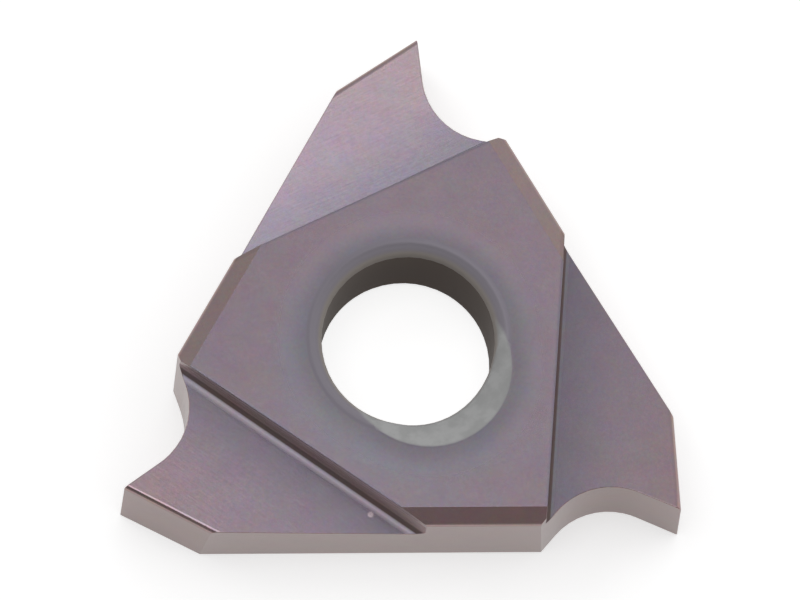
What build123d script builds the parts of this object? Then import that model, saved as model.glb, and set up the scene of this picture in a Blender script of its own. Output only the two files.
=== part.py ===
"""Laydown grooving insert with three hooked teeth: one sintered and ground carbide body.

The axis of the screw hole is +Z and the origin is on it, in the flat underside. One side of
the triangle faces -Y. The first tooth is the lower left one, its long wall lies in that side,
and the other two teeth are the same tooth turned by a third of a turn.
All lengths are in millimetres and all angles in degrees, counted from +X.
"""

from build123d import *
from math import radians, sin, tan
import os

# Triangular blank
inscribed_circle = 9.525
thickness = 3.18
tooth_count = 3

# Bevel ground along the top of each side, with a rounded outer edge
bevel_width = 0.44
bevel_slope = 23.5
bevel_edge_radius = 0.13

# Cutting edge of the first tooth, at the underside: how far it is left of the hole's axis, and
# how far in from the tooth's long wall
tip_reach = 7.17
tip_setback = 1.03

# Front flank, which falls from the cutting edge to the long wall and leans in towards the top,
# and the rounded corner at the upper end of the cutting edge, which runs back along it
flank_angle = 27.3
flank_lean = 2.9
corner_radius = 0.13

# Hooked rake face: an upright land behind the cutting edge and a run-out through the next side,
# joined by a round hollow. The depth is from the cutting edge to where the land and the run-out
# would meet without the hollow.
rake_angle = 36
hook_depth = 2.42
hook_radius = 1.77
run_out_angle = 108.8
run_out_lean = 2.9

# Top of the tooth, ground down from the blank to the width of the groove and falling away
# behind the cutting edge, and the step where that grinding ends
groove_width = 2.56
side_relief = 3.7
step_distance = 3.695
step_angle = 235.1
step_fillet = 0.2

# Honed edges all round
edge_hone = 0.02

# Screw hole with rounded ends, and the tapered seat beside it for the head of a tilted screw
hole_diameter = 4.3
hole_edge_radius = 0.4
seat_diameter = 4.14
seat_slope = 31
seat_offset = 0.88
seat_direction = -57
seat_edge_radius = 0.16

side_distance = inscribed_circle / 2
tip = Vector(-tip_reach, tip_setback - side_distance)
clear = 2 * inscribed_circle


def ground_wall(point, angle, lean=0):
    """Wall through a point, facing out of the carbide at an angle in plan and up by its lean."""
    facing = Vector(1, 0, 0).rotate(Axis.Y, -lean).rotate(Axis.Z, angle)
    return Plane(origin=point, z_dir=facing)


# Wheel that grinds the top of a tooth: it stands beyond the step, above the tooth's face
step_foot = Vector(step_distance, 0, groove_width).rotate(Axis.Z, step_angle)
tooth_face = Plane(
    origin=tip + (0, 0, groove_width),
    z_dir=Vector(0, 0, 1).rotate(Axis.Y, side_relief),
)
with BuildPart() as face_wheel:
    with BuildSketch(ground_wall(step_foot, step_angle)):
        Rectangle(clear, clear)
    extrude(amount=clear)
    split(bisect_by=tooth_face, keep=Keep.TOP)
    fillet(face_wheel.edges().sort_by_distance(step_foot)[0], radius=step_fillet)

# Wheel that grinds the front flank
with BuildPart() as flank_wheel:
    with BuildSketch(ground_wall(tip, -flank_angle - 90, flank_lean)):
        Rectangle(clear, clear)
    extrude(amount=clear)

# Wheel that grinds the hooked rake face
hook_corner = tip + Vector(hook_depth, 0, 0).rotate(Axis.Z, rake_angle)
with BuildPart() as hook_wheel:
    with BuildSketch(ground_wall(tip, rake_angle + 90)):
        Rectangle(clear, clear)
    extrude(amount=clear)
    split(bisect_by=ground_wall(hook_corner, run_out_angle + 90, run_out_lean), keep=Keep.TOP)
    fillet(hook_wheel.edges().sort_by_distance(hook_corner)[0], radius=hook_radius)

with BuildPart() as insert:
    # Blank with its three bevels
    with BuildSketch():
        RegularPolygon(side_distance, tooth_count, major_radius=False, rotation=-30)
    extrude(amount=thickness)
    top = insert.faces().sort_by(Axis.Z)[-1]
    chamfer(top.edges(), length=bevel_width, angle=bevel_slope, reference=top)
    bevel_edges = insert.edges().filter_by(Plane.XY).group_by(Axis.Z)[1]
    fillet(bevel_edges, radius=bevel_edge_radius)

    # Teeth
    with PolarLocations(0, tooth_count):
        for wheel in (face_wheel, flank_wheel, hook_wheel):
            add(wheel.part, mode=Mode.SUBTRACT)

    # Rounded corner of each cutting edge, then the hone
    flank_run = tip_setback / sin(radians(flank_angle))
    flank_middle = tip + Vector(flank_run / 2, 0, groove_width).rotate(Axis.Z, -flank_angle)
    for tooth in range(tooth_count):
        corner = flank_middle.rotate(Axis.Z, tooth * 360 / tooth_count)
        fillet(insert.edges().sort_by_distance(corner)[0], radius=corner_radius)
    fillet(insert.edges(), radius=edge_hone)

    # Hole with its rounded ends
    Hole(hole_diameter / 2)
    rims = [wire.edges() for face in insert.faces().filter_by(Axis.Z) for wire in face.inner_wires()]
    fillet(rims, radius=hole_edge_radius)

    # Seat with its rounded edge: a cone that runs on above the top, turned so that its seam lies
    # in the hole
    seat_centre = Vector(seat_offset, 0, thickness).rotate(Axis.Z, seat_direction)
    cone_height = seat_diameter * tan(radians(seat_slope))
    with Locations(seat_centre):
        Cone(0, seat_diameter, cone_height, rotation=(0, 0, seat_direction + 180), mode=Mode.SUBTRACT)
    seat_edge = seat_centre + Vector(seat_diameter / 2, 0).rotate(Axis.Z, seat_direction)
    fillet(insert.edges().sort_by_distance(seat_edge)[0], radius=seat_edge_radius)

insert.part.label = "grooving_insert"
os.makedirs("parts", exist_ok=True)
export_step(insert.part, "parts/grooving_insert.step")
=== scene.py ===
"""Laydown grooving insert on a pale floor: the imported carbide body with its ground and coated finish.

Lengths are in metres and angles in degrees.
"""

from math import cos, radians, sin

import bpy
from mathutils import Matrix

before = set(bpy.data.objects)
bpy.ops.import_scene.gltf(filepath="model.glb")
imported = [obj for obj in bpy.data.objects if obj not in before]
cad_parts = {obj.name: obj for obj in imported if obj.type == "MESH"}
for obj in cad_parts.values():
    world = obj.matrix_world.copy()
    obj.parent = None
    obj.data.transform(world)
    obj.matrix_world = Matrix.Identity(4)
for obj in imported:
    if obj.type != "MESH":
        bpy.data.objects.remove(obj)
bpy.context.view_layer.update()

# Grooving insert: one body of sintered tungsten carbide, ground on its faces, sides and teeth and
# then coated with a thin mauve-bronze film. The screw hole and its seat are left as sintered.
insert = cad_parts["grooving_insert"]


class Shade:
    """One output of a shader node. Operators on it add Math nodes to the same tree."""

    def __init__(self, tree, output=None):
        self.tree = tree
        self.output = output

    def node(self, kind, settings=None, inputs=None, output=0):
        """Adds a node, with its settings made first and then its sockets, and gives one output."""
        made = self.tree.nodes.new(kind)
        for name, value in (settings or {}).items():
            setattr(made, name, value)
        for name, value in (inputs or {}).items():
            if isinstance(value, Shade):
                self.tree.links.new(value.output, made.inputs[name])
            else:
                made.inputs[name].default_value = value
        return Shade(self.tree, made.outputs[output] if made.outputs else None)

    def math(self, operation, *others):
        """A Math node on this value and the others."""
        inputs = dict(enumerate((self, *others)))
        return self.node("ShaderNodeMath", {"operation": operation}, inputs)

    def __add__(self, other):
        return self.math("ADD", other)

    def __sub__(self, other):
        return self.math("SUBTRACT", other)

    def __rsub__(self, other):
        return self.node("ShaderNodeMath", {"operation": "SUBTRACT"}, {0: other, 1: self})

    def __mul__(self, other):
        return self.math("MULTIPLY", other)

    __radd__ = __add__
    __rmul__ = __mul__

    def greater(self, other):
        """The greater of this and another value."""
        return self.math("MAXIMUM", other)

    def vector(self, operation, other=None, output=0):
        """Vector Math with another vector, or with a single tuple."""
        inputs = {0: self} if other is None else {0: self, 1: other}
        return self.node("ShaderNodeVectorMath", {"operation": operation}, inputs, output)

    def length(self):
        """How long a vector is."""
        return self.vector("LENGTH", output="Value")

    def along(self, direction):
        """How far a vector goes in a direction."""
        return self.vector("DOT_PRODUCT", direction, "Value")

    def part(self, axis):
        """The X, Y or Z of a vector."""
        return self.node("ShaderNodeSeparateXYZ", None, {0: self}, axis)

    def rise(self, start, end):
        """A smooth mask that is 0 up to start and 1 from end on."""
        settings = {"interpolation_type": "SMOOTHSTEP"}
        return self.node("ShaderNodeMapRange", settings, {"Value": self, 1: start, 2: end})

    def noise(self, scale, detail, output="Fac"):
        """Noise at this place, in bumps of about one part in scale of a metre."""
        inputs = {"Vector": self, "Scale": scale, "Detail": detail, "Roughness": 0.6}
        return self.node("ShaderNodeTexNoise", None, inputs, output)

    def mix(self, first, second):
        """Two colours mixed by this mask."""
        inputs = {"Factor": self}
        for socket, shade in ((6, first), (7, second)):
            inputs[socket] = shade if isinstance(shade, Shade) else (*shade, 1)
        return self.node("ShaderNodeMix", {"data_type": "RGBA"}, inputs, 2)


def blank_tree(owner):
    """The emptied node tree of a new material or world."""
    owner.use_nodes = True
    owner.node_tree.nodes.clear()
    return Shade(owner.node_tree)


# Steps where the grinding of the three teeth ends: how far they are from the hole's axis, the way
# out to the first, how far in and out of that line their own finish reaches, and at which heights
tooth_count = 3
step_distance = 0.003695
step_angle = 235.1
step_inside = 0.00012
step_outside = 0.00030
step_floor = 0.0020
step_shade_top = 0.00285

# Sides of the core, their bevels, and the height of the edge along the top of a step
side_distance = 0.0047625
bevel_width = 0.00044
step_edge_height = 0.00315

# Rounded rim of the screw hole, the round seat beside it, and how far the top's colour, its blue
# tint and the matt finish reach round them
rim_reach = 0.00256
seat_radius = 0.00208
seat_middle = (0.00048, -0.00074, 0)
seat_floor = 0.0019
top_colour_reach = 0.0032
tint_start = 0.0024
tint_end = 0.0040
matt_start = 0.0024
matt_end = 0.0034
matt_past_seat = 0.0009

# How wide the blue band along a step's foot is, and where a tooth turns pinker towards its tip
foot_width = 0.0020
tip_start = 0.0052
tip_end = 0.0082

# Pale speck on the first tooth
speck_middle = (-0.00097, -0.00427, 0.00216)
speck_radius = 0.00010

# Colours of the film on the core and on the teeth
# The core's darker tone is painted shade and its lighter tone painted light
core_painted_shade = (0.234, 0.188, 0.222)
core_painted_light = (0.310, 0.246, 0.290)
core_blue = (0.224, 0.206, 0.240)
tooth_mauve = (0.312, 0.250, 0.298)
tooth_blue = (0.224, 0.196, 0.242)
tip_low = (0.340, 0.255, 0.277)
tip_high = (0.378, 0.295, 0.320)
speck_pink = (0.520, 0.430, 0.470)

# Colours of the film on the walls, edges, bevels and steps
wall_beige = (0.197, 0.129, 0.120)
# Painted highlight on the honed edges
edge_painted_highlight = (0.330, 0.245, 0.235)
bevel_brown = (0.302, 0.230, 0.230)
bevel_red = (0.420, 0.282, 0.288)
corner_wall = (0.330, 0.245, 0.246)
# Painted shade in the hollow corner of each step
corner_painted_shade = (0.150, 0.110, 0.107)
foot_grey = (0.265, 0.248, 0.288)
# Painted highlight along the first tooth's foot
painted_streak_grey = (0.540, 0.485, 0.560)

# Colours of the bare carbide in the hole, on its rim and on the seat
# The hole's near-black brown is painted shade
hole_painted_shade = (0.075, 0.044, 0.026)
rim_olive = (0.360, 0.325, 0.300)
rim_blue = (0.270, 0.250, 0.285)
seat_grey = (0.432, 0.434, 0.434)
seat_smudge = tuple(0.86 * shade for shade in seat_grey)

# How strongly the flecks and the blotches change the film's colour
fleck_strength = 0.28
blotch_strength = 0.22

# How rough the ground film is, and what the matt places, the foot of a step and the grain add
ground_roughness = 0.25
matt_roughness = 0.28
foot_roughness = 0.35
grain_roughness = 0.05

# How deep the wheel's grain, the fine pores and the unevenness of the seat are
grain_depth = 0.0000012
pore_depth = 0.0000008
seat_depth = 0.000006

coated = bpy.data.materials.new("coated_carbide")
tree = blank_tree(coated)
place = tree.node("ShaderNodeTexCoord", output="Object")
height = place.part("Z")
back = place.part("Y")
flat_place = place.vector("MULTIPLY", (1, 1, 0))
radius = flat_place.length()
seat_reach = flat_place.vector("SUBTRACT", seat_middle).length()
speck_reach = place.vector("SUBTRACT", speck_middle).length()

# Facing is 1 where the surface is level and 0 on an upright wall
normal = tree.node("ShaderNodeNewGeometry", output="Normal")
facing = normal.part("Z")

# How far out a place is towards the nearest tooth and towards the nearest side, how far a tooth's
# surface is turned along its step, and the long, close lines that the wheel drew beside the step
line_closeness = 14
across = -1
outside = -1
turned = 0
drawn = (0, 0, 0)
teeth = []
for tooth in range(tooth_count):
    step_turn = radians(step_angle + tooth * 360 / tooth_count)
    side_turn = radians(tooth * 360 / tooth_count - 90)
    step_line = (-sin(step_turn), cos(step_turn), 0)
    reach = place.along((cos(step_turn), sin(step_turn), 0))
    run = place.along(step_line)
    on_tooth = reach.math("GREATER_THAN", step_distance - 0.0002)
    teeth.append(on_tooth)
    line_place = {0: reach * line_closeness * on_tooth, 1: run * on_tooth, 2: height}
    drawn = tree.node("ShaderNodeCombineXYZ", None, line_place).vector("ADD", drawn)
    turned = normal.along(step_line) * on_tooth + turned
    across = reach.greater(across)
    outside = place.along((cos(side_turn), sin(side_turn), 0)).greater(outside)

on_teeth = across.rise(step_distance - 0.0001, step_distance)
grain = (drawn.noise(scale=1500, detail=4) - 0.5) * on_teeth
cloud = place.noise(scale=420, detail=3) - 0.5
speckle = place.noise(scale=5200, detail=2)
smudge = place.noise(scale=2400, detail=3)

# The film is thinner and bluer round the hole and along the foot of each step, and pinker at the
# tips. On the core, painted shade darkens it towards the front left and painted light brightens it
# towards the back right.
halo = (1 - (radius + back * 0.15).rise(tint_start, tint_end)) + cloud * 0.4
core_colour = (place.part("X") * 0.7 + back).rise(-0.0060, 0.0060).mix(core_painted_shade, core_painted_light)
core_colour = halo.rise(0, 1).mix(core_colour, core_blue)
foot = 1 - across.rise(step_distance, step_distance + foot_width)
tip = radius.rise(tip_start, tip_end)
tip_colour = back.rise(-0.0055, 0.0085).mix(tip_low, tip_high)
tooth_colour = foot.mix(tip.mix(tooth_mauve, tip_colour), tooth_blue)
top_colour = on_teeth.mix(core_colour, tooth_colour)

# It is beige on the walls, lighter on the honed edges with a painted highlight, and brown on the
# bevels, with a redder bevel in front
steep_colour = facing.rise(0.10, 0.40).mix(wall_beige, edge_painted_highlight)
bevel_colour = back.rise(-0.0044, -0.0036).mix(bevel_red, bevel_brown)
steep_colour = facing.rise(0.78, 0.90).mix(steep_colour, bevel_colour)

# The colour of the top runs on over the hole's rim and over the honed edge of each step
at_step = (
    across.rise(step_distance - step_inside, step_distance - step_inside + 0.00004)
    * (1 - across.rise(step_distance + step_outside - 0.00012, step_distance + step_outside))
    * height.rise(step_floor - 0.0001, step_floor)
    * (1 - turned.math("ABSOLUTE").rise(0.2, 0.4))
)
on_flat = 1 - outside.rise(side_distance - bevel_width - 0.00002, side_distance - bevel_width)
step_edge = at_step * on_flat * height.rise(step_edge_height - 0.00002, step_edge_height)
near_hole = 1 - radius.rise(top_colour_reach - 0.0001, top_colour_reach)
level = facing.rise(0.93, 0.985).greater(near_hole.greater(step_edge))
film = level.mix(steep_colour, top_colour)

# Each step's wall is less metallic, and painted shade darkens its hollow corner. The foot is
# greyer and matt. On the first tooth the foot has a pale streak, a painted highlight.
below = 1 - height.rise(step_shade_top - 0.0001, step_shade_top)
# Painted highlight: the pale streak at the first tooth's foot
painted_streak = at_step * below * teeth[0]
foot_line = at_step * below * (1 - facing.rise(0.988, 0.996))
# Painted shade in each step's hollow corner
corner = (at_step - step_edge) * (1 - facing.rise(0.85, 0.94))
film = painted_streak.mix(foot_line.mix(film, foot_grey), painted_streak_grey)
film = corner.mix(film, facing.rise(0.25, 0.60).mix(corner_wall, corner_painted_shade))

# Fine flecks and wider blotches of colour, and the speck
flecks = place.noise(scale=12000, detail=2, output="Color")
blotches = place.noise(scale=1700, detail=2, output="Color")
for spots, strength in ((flecks, fleck_strength), (blotches, blotch_strength)):
    least = 1 - strength / 2
    change = spots.vector("MULTIPLY", (strength, strength, strength))
    film = film.vector("MULTIPLY", change.vector("ADD", (least, least, least)))
film = (1 - speck_reach.rise(0.4 * speck_radius, speck_radius)).mix(film, speck_pink)

# The film ends on the hole's rounded rim, which is matt. The hole and the seat are bare: the hole's
# wall painted near-black as shade, the lower part of the rim olive, and the seat pale and smudged.
in_hole = 1 - radius.rise(rim_reach - 0.00003, rim_reach)
in_seat = 1 - seat_reach.rise(seat_radius - 0.00008, seat_radius + 0.00004)
in_seat = in_seat * height.rise(seat_floor - 0.0001, seat_floor) * (1 - facing.rise(0.92, 0.998))
rim_bare = in_hole * (1 - facing.rise(0.82, 0.975))
bare = in_seat.greater(rim_bare)
rim_colour = facing.rise(-0.02, 0.12).mix(hole_painted_shade, rim_olive)
rim_colour = facing.rise(0.45, 0.80).mix(rim_colour, rim_blue)
rim_colour = facing.rise(0.96, 0.999).mix(rim_colour, core_blue)
seat_colour = smudge.rise(0.35, 0.65).mix(seat_grey, seat_smudge)
colour = in_hole.mix(film, rim_colour)
colour = (in_seat * facing.rise(0.30, 0.70)).mix(colour, seat_colour)

# The bare carbide is matt, and so are the film close to it and the foot of each step
matt_rim = 1 - radius.rise(matt_start, matt_end)
matt_seat = 1 - seat_reach.rise(seat_radius, seat_radius + matt_past_seat)
matt = bare.greater(matt_rim.greater(matt_seat))
roughness = ground_roughness + matt * matt_roughness + grain * grain_roughness
roughness = roughness + painted_streak.greater(foot_line) * foot_roughness
relief = grain * grain_depth + speckle * in_seat * seat_depth + speckle * pore_depth
bump = tree.node("ShaderNodeBump", None, {"Strength": 1, "Distance": 1, "Height": relief})
body = tree.node(
    "ShaderNodeBsdfPrincipled",
    None,
    {
        "Base Color": colour,
        "Metallic": 1 - bare - corner * 0.6,
        "Roughness": roughness,
        "Normal": bump,
        "Specular IOR Level": 0.05,
    },
)
tree.node("ShaderNodeOutputMaterial", None, {"Surface": body})
for material_slot in insert.material_slots:
    material_slot.material = coated

# Floor: a plain white board that keeps the insert's shadow. It glows a little to the camera and in
# reflections, so that it shows white, and a little more under the screw hole.
board_white = (0.86, 0.86, 0.86, 1)
glow_strength = 4.9
glow_under_hole = 0.160
glow_elsewhere = 0.110

bpy.ops.object.select_all(action="DESELECT")
bpy.ops.mesh.primitive_plane_add(size=4, location=(0, 0, 0))
floor = bpy.context.object
floor.name = "floor"
board = bpy.data.materials.new("white_board")
tree = blank_tree(board)
paper = tree.node("ShaderNodeBsdfDiffuse", None, {"Color": board_white})
glow = tree.node("ShaderNodeEmission", None, {"Color": (1, 1, 1, 1), "Strength": glow_strength})
seen = tree.node("ShaderNodeLightPath", output="Is Camera Ray")
for ray in ("Is Glossy Ray", "Is Transmission Ray"):
    seen = seen.greater(tree.node("ShaderNodeLightPath", output=ray))
from_hole = tree.node("ShaderNodeTexCoord", output="Object").length()
past_hole = from_hole.rise(0.0026, 0.0034)
share = seen * (glow_under_hole - past_hole * (glow_under_hole - glow_elsewhere))
lit = tree.node("ShaderNodeMixShader", None, {0: share, 1: paper, 2: glow})
tree.node("ShaderNodeOutputMaterial", None, {"Surface": lit})
floor.data.materials.append(board)

# Light: a pale room, darker towards the front and the left and lighter low down all round, with
# one soft lamp overhead, which brightens the upper tooth, and one at the back left
front_strength = 0.231
back_gain = 0.397
right_gain = 0.166
low_gain = 0.35

world = bpy.data.worlds.new("pale_room")
bpy.context.scene.world = world
tree = blank_tree(world)
direction = tree.node("ShaderNodeTexCoord", output="Generated")
low_down = 1 - direction.part("Z").rise(0.15, 0.80)
room = front_strength + direction.part("Y").rise(-0.45, 0.05) * back_gain
room = room + direction.part("X") * right_gain + low_down * low_gain
camera_ray = tree.node("ShaderNodeLightPath", output="Is Camera Ray")
brightness = room.greater(camera_ray)
sky = tree.node("ShaderNodeBackground", None, {"Color": (1, 1, 1, 1), "Strength": brightness})
tree.node("ShaderNodeOutputWorld", None, {"Surface": sky})

for name, spot, size, energy in (
    ("lamp_overhead", (-0.030, -0.015, 0.297), 0.166, 0.1125),
    ("lamp_back_left", (-0.135, 0.105, 0.246), 0.080, 0.0391),
):
    bpy.ops.object.light_add(type="AREA", location=spot)
    lamp = bpy.context.object
    lamp.name = name
    lamp.data.shape = "DISK"
    lamp.data.size = size
    lamp.data.energy = energy
    lamp.visible_camera = False
    lamp.rotation_euler = lamp.location.to_track_quat("Z", "Y").to_euler()

# Camera: above the insert and a little in front of it, with the photograph's narrow view
bpy.ops.object.camera_add(
    location=(-0.006544, -0.034972, 0.134334),
    rotation=[radians(turn) for turn in (15.337, -2.514, -0.922)],
)
camera = bpy.context.object
camera.name = "camera"
camera.data.lens = 247.47
camera.data.sensor_width = 36
camera.data.clip_start = 0.005
camera.data.clip_end = 20
bpy.context.scene.camera = camera
bpy.context.scene.view_settings.view_transform = "Standard"
